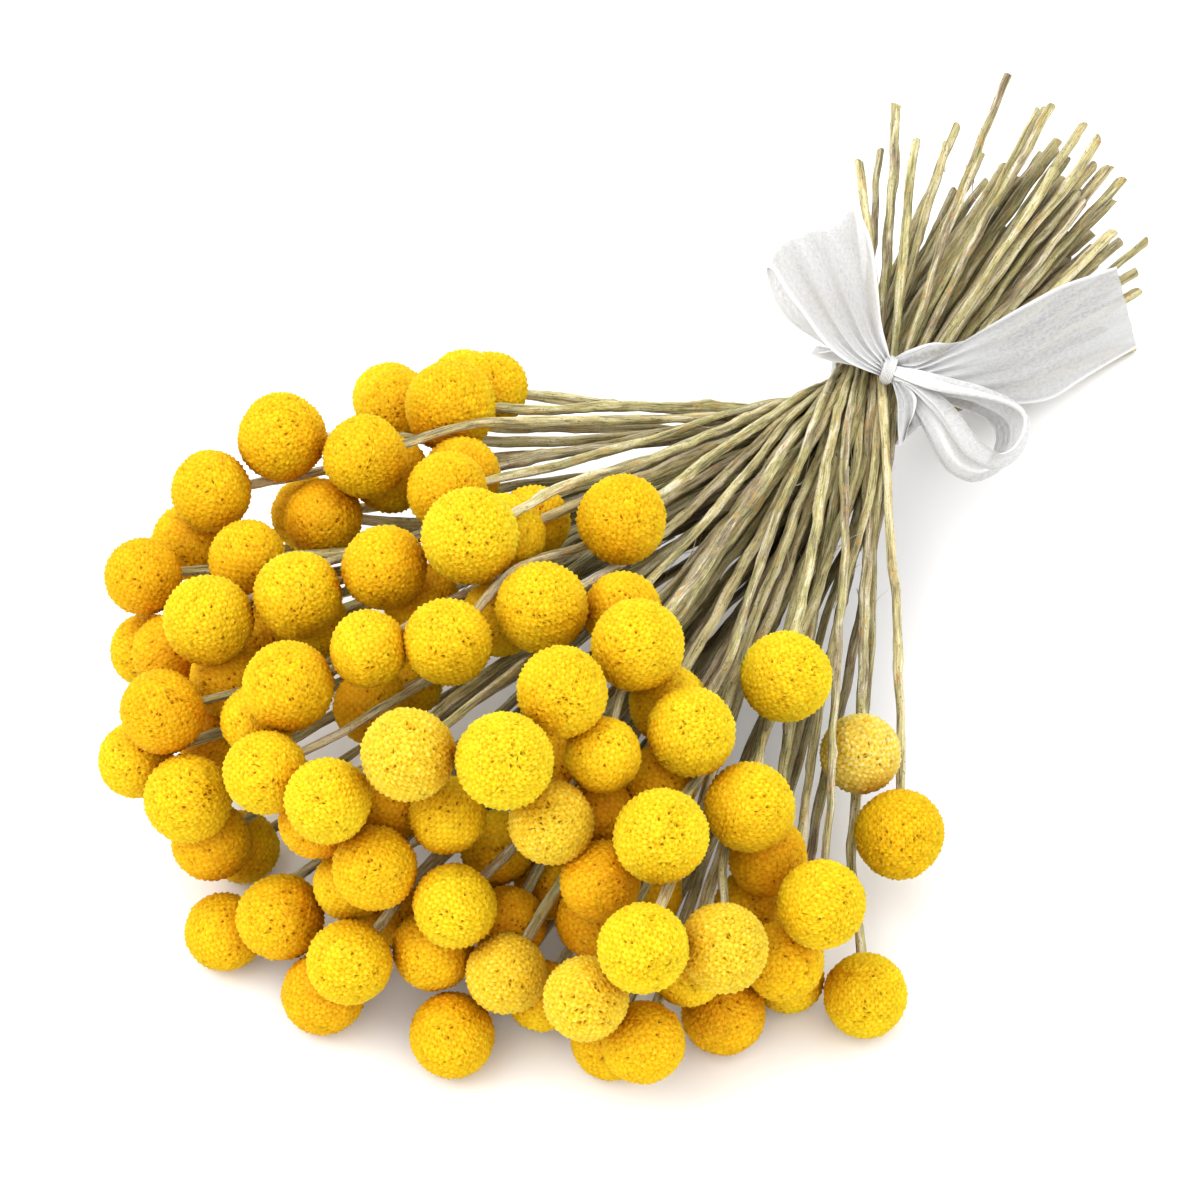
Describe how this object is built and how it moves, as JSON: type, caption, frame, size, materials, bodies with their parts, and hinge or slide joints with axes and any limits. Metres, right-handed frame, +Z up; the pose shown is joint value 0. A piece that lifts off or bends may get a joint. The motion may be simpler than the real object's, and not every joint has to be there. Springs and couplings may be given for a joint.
{
  "type": "dried billy button bunch",
  "caption": "Bunch of dried ball-shaped flower heads on long thin stems, tied at the waist with a sheer ribbon bow and lying on its side.",
  "frame": {"origin": "middle of the bunch's bounding box, on the surface that it lies on", "axes": "+Z up from the surface, +X along the bunch from the flower heads to the cut stem ends"},
  "size_m": [0.3938, 0.2538, 0.1121],
  "materials": {
    "florets_golden": "matte, dry florets, golden yellow",
    "florets_lemon": "matte, dry florets, bright yellow",
    "florets_amber": "matte, dry florets, amber yellow",
    "florets_pale": "matte, dry florets, faded ochre yellow",
    "dried_stem": "matte, ridged, grey-green dried stem",
    "organza": "sheer white organza with a slight sheen"
  },
  "bodies": {
    "root": {"flower_heads_01": "florets_golden", "flower_heads_02": "florets_golden", "flower_heads_03": "florets_golden", "flower_heads_04": "florets_golden", "flower_heads_05": "florets_golden", "flower_heads_06": "florets_amber", "flower_heads_07": "florets_golden", "flower_heads_08": "florets_golden", "flower_heads_09": "florets_golden", "flower_heads_10": "florets_golden", "flower_heads_11": "florets_golden", "flower_heads_12": "florets_golden", "flower_heads_13": "florets_lemon", "flower_heads_14": "florets_golden", "flower_heads_15": "florets_golden", "flower_heads_16": "florets_golden", "flower_heads_17": "florets_golden", "flower_heads_18": "florets_golden", "flower_heads_19": "florets_golden", "flower_heads_20": "florets_golden", "flower_heads_21": "florets_amber", "flower_heads_22": "florets_golden", "flower_heads_23": "florets_golden", "flower_heads_24": "florets_pale", "flower_heads_25": "florets_golden", "flower_heads_26": "florets_lemon", "flower_heads_27": "florets_golden", "flower_heads_28": "florets_golden", "flower_heads_29": "florets_golden", "flower_heads_30": "florets_lemon", "flower_heads_31": "florets_pale", "flower_heads_32": "florets_golden", "flower_heads_33": "florets_golden", "flower_heads_34": "florets_lemon", "flower_heads_35": "florets_pale", "flower_heads_36": "florets_golden", "flower_heads_37": "florets_golden", "flower_heads_38": "florets_golden", "flower_heads_39": "florets_lemon", "flower_heads_40": "florets_golden", "flower_heads_41": "florets_amber", "flower_heads_42": "florets_golden", "flower_heads_43": "florets_amber", "flower_heads_44": "florets_pale", "flower_heads_45": "florets_golden", "flower_heads_46": "florets_lemon", "flower_heads_47": "florets_golden", "flower_heads_48": "florets_amber", "flower_heads_49": "florets_golden", "flower_heads_50": "florets_golden", "flower_heads_51": "florets_golden", "stems": "dried_stem", "ribbon": "organza"}
  },
  "joints": []
}
